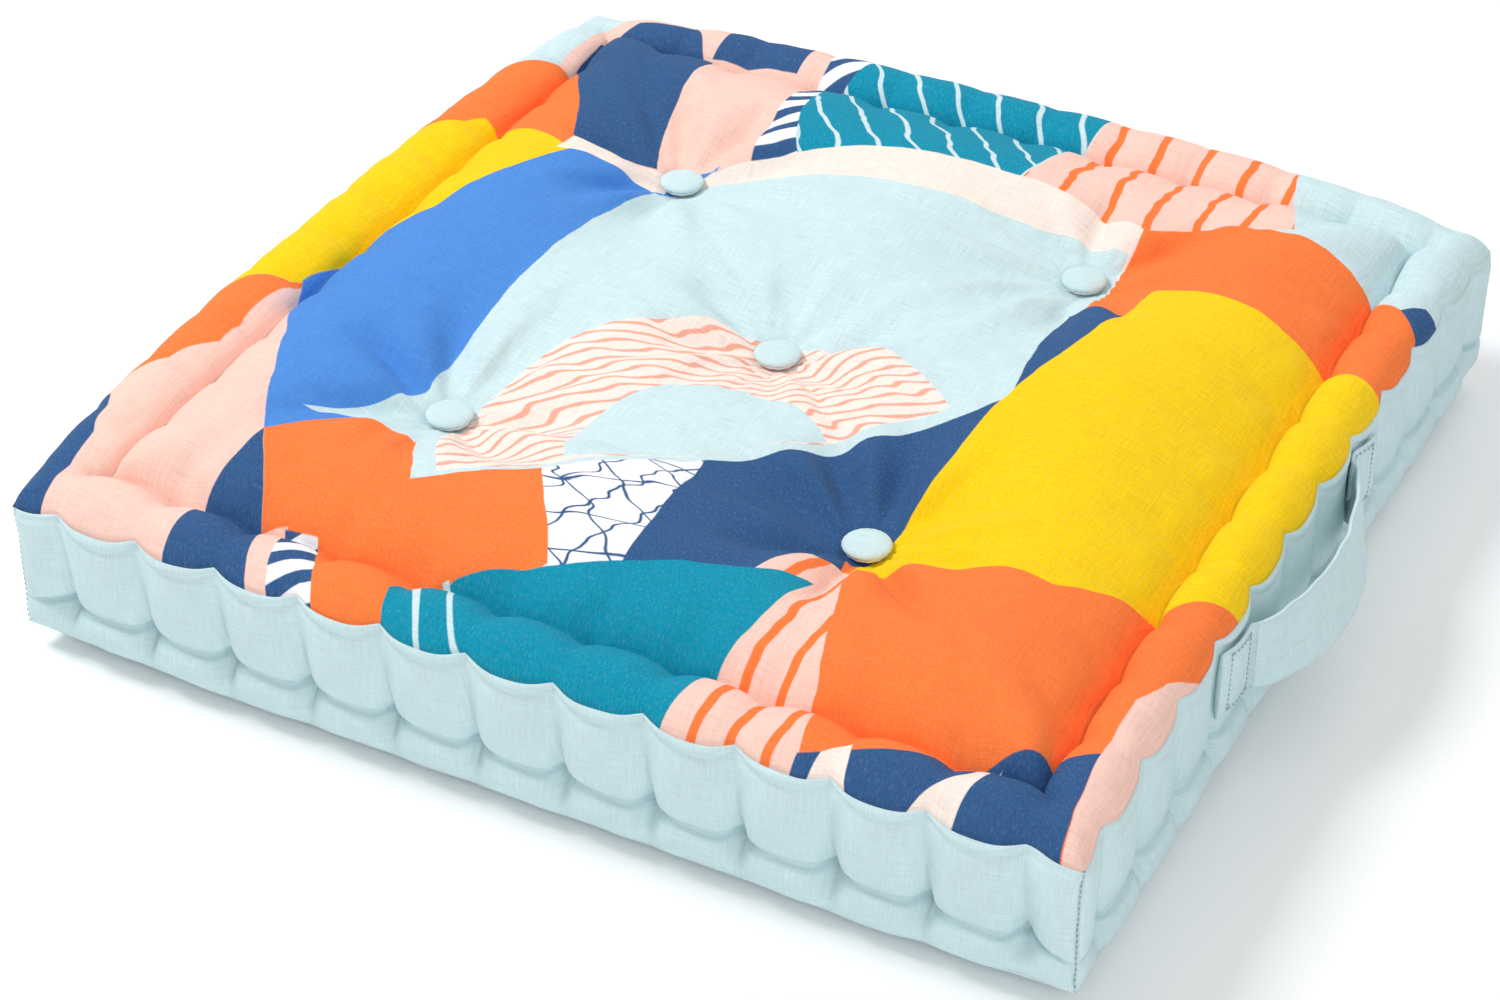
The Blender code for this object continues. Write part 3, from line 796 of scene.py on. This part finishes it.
sideNames = ("front", "right", "back", "left")
printedTop = splitCover(0, "printed_top", printedCotton)
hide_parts("top_panel", "filling_core", "filling_top_roll")
basePanel = splitCover(1, "base_cloth", paleCotton)
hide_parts("base_panel", "filling_base_roll")
for number, name in enumerate(sideNames):
    piece = splitCover(2 + number, f"side_{name}", paleCotton)
    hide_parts(f"boxing_{name}")
bpy.data.objects.remove(coverObj)
print("cover split into its cloths")


def addThread(bm, points, radius, sides=6):
    """a round thread through the points, closed at both ends"""
    rings = []
    for number, point in enumerate(points):
        ahead = points[min(number + 1, len(points) - 1)] - points[max(number - 1, 0)]
        ahead.normalize()
        one = ahead.cross(Vector((0, 0, 1)) if abs(ahead.z) < 0.9 else Vector((1, 0, 0))).normalized()
        two = ahead.cross(one)
        size = radius * (0.6 if number in (0, len(points) - 1) else 1.0)
        ring = []
        for k in range(sides):
            turn = 2 * math.pi * k / sides
            ring.append(bm.verts.new(point + one * size * math.cos(turn) + two * size * math.sin(turn)))
        rings.append(ring)
    for a, b in zip(rings, rings[1:]):
        for k in range(sides):
            bm.faces.new((a[k], a[(k + 1) % sides], b[(k + 1) % sides], b[k]))
    bm.faces.new(rings[0][::-1])
    bm.faces.new(rings[-1])


def finishPiece(bm, name, material, body):
    bmesh.ops.recalc_face_normals(bm, faces=bm.faces)
    mesh = bpy.data.meshes.new(name)
    bm.to_mesh(mesh)
    bm.free()
    mesh.shade_smooth()
    mesh.materials.append(material)
    piece = bpy.data.objects.new(name, mesh)
    bpy.context.scene.collection.objects.link(piece)
    if body:
        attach(piece, body)
    return piece


def onCover(flatX, flatY, flatZ):
    """place and outward direction on the finished cover for a point of the flat cloth"""
    number = np.argmin(((coverFlat - (flatX, flatY, flatZ)) ** 2).sum(axis=1))
    vert = coverMesh.vertices[number]
    return vert.co.copy(), vert.normal.copy()


twine = {"radius": 0.0007, "length": 0.0052, "grooveLength": 0.005}
stitchTimes = [-cover["stitchSpan"] / 2 + pitch * i for i in range(cover["stitches"])]
for number, name in enumerate(sideNames):
    bm = bmesh.new()
    turn = Matrix.Rotation(number * math.pi / 2, 3, "Z")
    along = turn @ Vector((1, 0, 0))
    for t in stitchTimes:
        inGroove = Vector((t, -cover["half"] + cover["grooveIn"], cover["seamHeight"]))
        for flat, way, length in (
            (Vector((t, -cover["half"], cover["stitchHeight"])), along, twine["length"]),
            (inGroove, turn @ Vector((0, 1, 0)), twine["grooveLength"]),
        ):
            if flat is inGroove and abs(t) > cover["half"] - cover["grooveIn"]:
                continue
            place, outward = onCover(*(turn @ flat))
            lift = outward * twine["radius"]
            addThread(bm, [
                place - way * length / 2 - lift * 0.8, place - way * length / 4 + lift * 0.6,
                place + lift * 0.9, place + way * length / 4 + lift * 0.6, place + way * length / 2 - lift * 0.8,
            ], twine["radius"])
    piece = finishPiece(bm, f"roll_stitches_{name}", waxedTwine, "cushion")
    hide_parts(f"top_roll_twine_{name}", f"base_roll_twine_{name}")
print("roll stitches in")

seamThread = {"pitch": 0.0034, "length": 0.0018, "radius": 0.00028}
for cornerName, cornerX, cornerY in (("front_left", -1, -1), ("front_right", 1, -1), ("back_right", 1, 1), ("back_left", -1, 1)):
    half = cover["half"]
    on = np.abs(coverFlat[:, :2] - (cornerX * half, cornerY * half)).max(axis=1) < 0.0004
    line = sorted((coverMesh.vertices[i].co.copy() for i in np.flatnonzero(on)), key=lambda co: co.z)
    outward = Vector((cornerX, cornerY, 0)).normalized()
    bm = bmesh.new()
    walked, nextStart = 0.0, 0.004
    for a, b in zip(line, line[1:]):
        span = (b - a).length
        while nextStart < walked + span:
            place = a.lerp(b, (nextStart - walked) / max(span, 1e-6)) + outward * 0.0002
            ahead = (b - a).normalized() * seamThread["length"] / 2
            addThread(bm, [place - ahead, place + outward * seamThread["radius"], place + ahead], seamThread["radius"])
            nextStart += seamThread["pitch"]
        walked += span
    finishPiece(bm, f"corner_stitches_{cornerName}", sewingThread, "cushion")

button = {"rings": 10, "segments": 48, "pleats": 22, "pleatDepth": 0.012, "puff": 1.0}
profile = ((0, 1), (0.22, 0.985), (0.42, 0.94), (0.60, 0.86), (0.76, 0.73), (0.88, 0.55), (0.96, 0.32), (1.0, 0.05), (0.97, -0.22), (0.86, -0.38))
for buttonName in buttonNames:
    for face, way in (("top", 1), ("base", -1)):
        node = f"button_cap_{buttonName}_{face}"
        low, high = (Vector(corner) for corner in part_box(node))
        centre, radius = (low + high) / 2, (high.x - low.x) / 2
        height = (high.z - low.z) * 0.62
        foot = low.z + (high.z - low.z) * 0.28 if way > 0 else high.z - (high.z - low.z) * 0.28
        bm = bmesh.new()
        uv = bm.loops.layers.uv.new("cloth")
        tip = bm.verts.new((centre.x, centre.y, foot + way * height))
        rings = []
        for share, up in profile[1:]:
            ring = []
            for k in range(button["segments"]):
                turn = 2 * math.pi * k / button["segments"]
                pleat = 1 + button["pleatDepth"] * math.cos(button["pleats"] * turn) * smooth((share - 0.7) / 0.3)
                ring.append(bm.verts.new((
                    centre.x + radius * share * pleat * math.cos(turn),
                    centre.y + radius * share * pleat * math.sin(turn),
                    foot + way * height * up,
                )))
            rings.append(ring)
        count = button["segments"]
        for k in range(count):
            bm.faces.new((tip, rings[0][k], rings[0][(k + 1) % count]))
        for a, b in zip(rings, rings[1:]):
            for k in range(count):
                bm.faces.new((a[k], b[k], b[(k + 1) % count], a[(k + 1) % count]))
        bm.faces.new(rings[-1])
        for polygon in bm.faces:
            for loop in polygon.loops:
                loop[uv].uv = (loop.vert.co.x - middleX + 0.7, loop.vert.co.y + loop.vert.co.z)
        piece = finishPiece(bm, f"covered_button_{buttonName}_{face}", paleCotton, "cushion")
        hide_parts(node)
        for node in (f"button_back_{buttonName}_{face}",):
            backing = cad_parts[node]
            for slot in backing.material_slots:
                slot.material = buttonPlastic
    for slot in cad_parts[f"tufting_twine_{buttonName}"].material_slots:
        slot.material = waxedTwine
print("buttons covered")

strap = {
    "width": 0.040, "thick": 0.0026, "bow": 0.0235, "lean": 0.30,
    "frontEnd": -0.121, "frontFree": -0.090, "backFree": 0.065, "backEnd": 0.096, "middleHeight": 0.066,
    "edgeStitch": 0.0035, "wrinkle": 0.0006, "offWall": 0.0018,
}


def wallAt(y):
    """how far out the right side stands behind the strap"""
    found = []
    for z in (0.052, 0.060, 0.068, 0.076):
        hit = coverTree.ray_cast(Vector((0.40, y, z)), Vector((-1, 0, 0)))
        if hit[0]:
            found.append(hit[0].x)
    return sum(found) / len(found)


def strapSpot(y):
    """centre of the strap and how far it leans, for a place along it"""
    ends = strap["frontFree"], strap["backFree"]
    if y < ends[0] or y > ends[1]:
        nearby = [wallAt(y + step) for step in (-0.006, -0.003, 0, 0.003, 0.006)]
        return Vector((mix(sum(nearby) / 5, max(nearby), 0.4) + strap["offWall"], y, strap["middleHeight"])), 0.0
    share = (y - ends[0]) / (ends[1] - ends[0])
    walls = [strapEndX[0], strapEndX[1]]
    out = math.sin(math.pi * share) ** 0.62
    x = mix(walls[0], walls[1], share) + strap["bow"] * out
    return Vector((x, y, strap["middleHeight"] - 0.002 * out)), strap["lean"] * out


strapEndX = [strapSpot(strap[end] + step)[0].x for end, step in (("frontFree", -0.0001), ("backFree", 0.0001))]


def crossSection():
    """outline of the strap's section, as (along its width, out) from the middle"""
    half, thick, groove = strap["width"] / 2, strap["thick"] / 2, strap["edgeStitch"]
    face = []
    steps = 20
    for i in range(steps + 1):
        w = mix(-half + thick * 0.6, half - thick * 0.6, i / steps)
        edge = half - abs(w)
        out = thick * (1 - 0.55 * bump((edge - groove) / 0.0022)) * (0.82 if edge < thick else 1.0)
        face.append((w, out))
    back = [(w, -out) for w, out in face[::-1]]
    return face + [(half, 0.0)] + back + [(-half, 0.0)]


def sweepStrap(name, y0, y1, steps):
    section = crossSection()
    bm = bmesh.new()
    uv = bm.loops.layers.uv.new("cloth")
    rings, spots = [], {}
    for i in range(steps + 1):
        y = mix(y0, y1, i / steps)
        place, lean = strapSpot(y)
        before, after = strapSpot(y - 0.002)[0], strapSpot(y + 0.002)[0]
        ahead = (after - before).normalized()
        outward = ahead.cross(Vector((0, 0, 1))).normalized()
        upward = (Vector((0, 0, 1)) * math.cos(lean) - outward * math.sin(lean)).normalized()
        facing = ahead.cross(upward).normalized()
        ring = []
        for j, (w, out) in enumerate(section):
            crumple = noise.noise(Vector((y * 70, w * 55, 4.2))) * strap["wrinkle"] * (2.0 if lean else 0.6)
            vert = bm.verts.new(place + upward * w + facing * (out + crumple))
            spots[vert] = (y + 0.5, w + (0.06 if out < 0 else 0.0))
            ring.append(vert)
        rings.append(ring)
    count = len(section)
    for a, b in zip(rings, rings[1:]):
        for j in range(count):
            bm.faces.new((a[j], a[(j + 1) % count], b[(j + 1) % count], b[j]))
    bm.faces.new(rings[0][::-1])
    bm.faces.new(rings[-1])
    for polygon in bm.faces:
        for loop in polygon.loops:
            loop[uv].uv = spots[loop.vert]
    return bm


loopBm = sweepStrap("handle_loop", strap["frontFree"], strap["backFree"], 64)
handleLoop = finishPiece(loopBm, "handle_loop", paleCotton, None)
bpy.context.view_layer.update()
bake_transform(handleLoop)
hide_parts("handle_strap")
for name, y0, y1 in (("front", strap["frontEnd"], strap["frontFree"] + 0.002), ("back", strap["backFree"] - 0.002, strap["backEnd"])):
    piece = finishPiece(sweepStrap(name, y0, y1, 14), f"handle_sewn_{name}", paleCotton, "cushion")
    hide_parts(f"handle_end_{name}")
    bm = bmesh.new()
    for row in (0.2, 0.8):
        y = mix(y0, y1, row)
        place, _ = strapSpot(y)
        for k in range(12):
            z = place.z + mix(-0.017, 0.017, k / 11)
            x = place.x + strap["thick"] / 2 + 0.0002
            addThread(bm, [Vector((x - 0.0003, place.y, z - 0.0011)), Vector((x + 0.0002, place.y, z)), Vector((x - 0.0003, place.y, z + 0.0011))], 0.0004)
    for z in (-0.017, 0.017):
        for k in range(6):
            y = mix(mix(y0, y1, 0.25), mix(y0, y1, 0.75), k / 5)
            place, _ = strapSpot(y)
            x = place.x + strap["thick"] / 2 + 0.0002
            addThread(bm, [Vector((x - 0.0003, place.y - 0.0011, place.z + z)), Vector((x + 0.0002, place.y, place.z + z)), Vector((x - 0.0003, place.y + 0.0011, place.z + z))], 0.0004)
    piece = finishPiece(bm, f"handle_stitches_{name}", sewingThread, "cushion")
    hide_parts(f"handle_stitching_{name}")
print("handle sewn on")

# stage, light and camera
bpy.ops.mesh.primitive_plane_add(size=8, location=(0, 0, -0.0004))
floor = bpy.context.object
floor.name = "floor"
floorFinish, floorTree, floorShader = newFinish("studio floor")
floorShader.inputs["Base Color"].default_value = (0.97, 0.97, 0.97, 1)
floorShader.inputs["Roughness"].default_value = 0.9
floorShader.inputs["Specular IOR Level"].default_value = 0.1
floor.data.materials.append(floorFinish)

studio = {
    "world": 0.47,
    "key": ((-1.65, -0.45, 2.4), 0.9, 48),
    "fill": ((1.5, -1.9, 1.4), 1.6, 17),
    "back": ((0.3, 2.0, 1.8), 1.6, 16),
}
world = bpy.data.worlds.new("studio")
bpy.context.scene.world = world
world.use_nodes = True
world.node_tree.nodes["Background"].inputs["Color"].default_value = (1, 1, 1, 1)
world.node_tree.nodes["Background"].inputs["Strength"].default_value = studio["world"]
for lightName in ("key", "fill", "back"):
    place, size, power = studio[lightName]
    lamp = bpy.data.lights.new(lightName, "AREA")
    lamp.size = size
    lamp.energy = power
    light = bpy.data.objects.new(lightName, lamp)
    light.location = place
    light.rotation_euler = (Vector((0, 0, 0.05)) - Vector(place)).to_track_quat("-Z", "Y").to_euler()
    bpy.context.scene.collection.objects.link(light)
bpy.context.scene.view_settings.view_transform = "Standard"

view = {"lens": 79.2, "azimuth": 27.77, "elevation": 35.81, "distance": 1.828, "target": (-0.0131, -0.0263, 0.015)}
cameraData = bpy.data.cameras.new("camera")
cameraData.lens = view["lens"]
camera = bpy.data.objects.new("camera", cameraData)
azimuth, elevation = math.radians(view["azimuth"]), math.radians(view["elevation"])
back = Vector((math.sin(azimuth) * math.cos(elevation), -math.cos(azimuth) * math.cos(elevation), math.sin(elevation)))
camera.location = Vector((middleX, middleY, 0)) + Vector(view["target"]) + back * view["distance"]
camera.rotation_euler = back.to_track_quat("Z", "Y").to_euler()
bpy.context.scene.collection.objects.link(camera)
bpy.context.scene.camera = camera
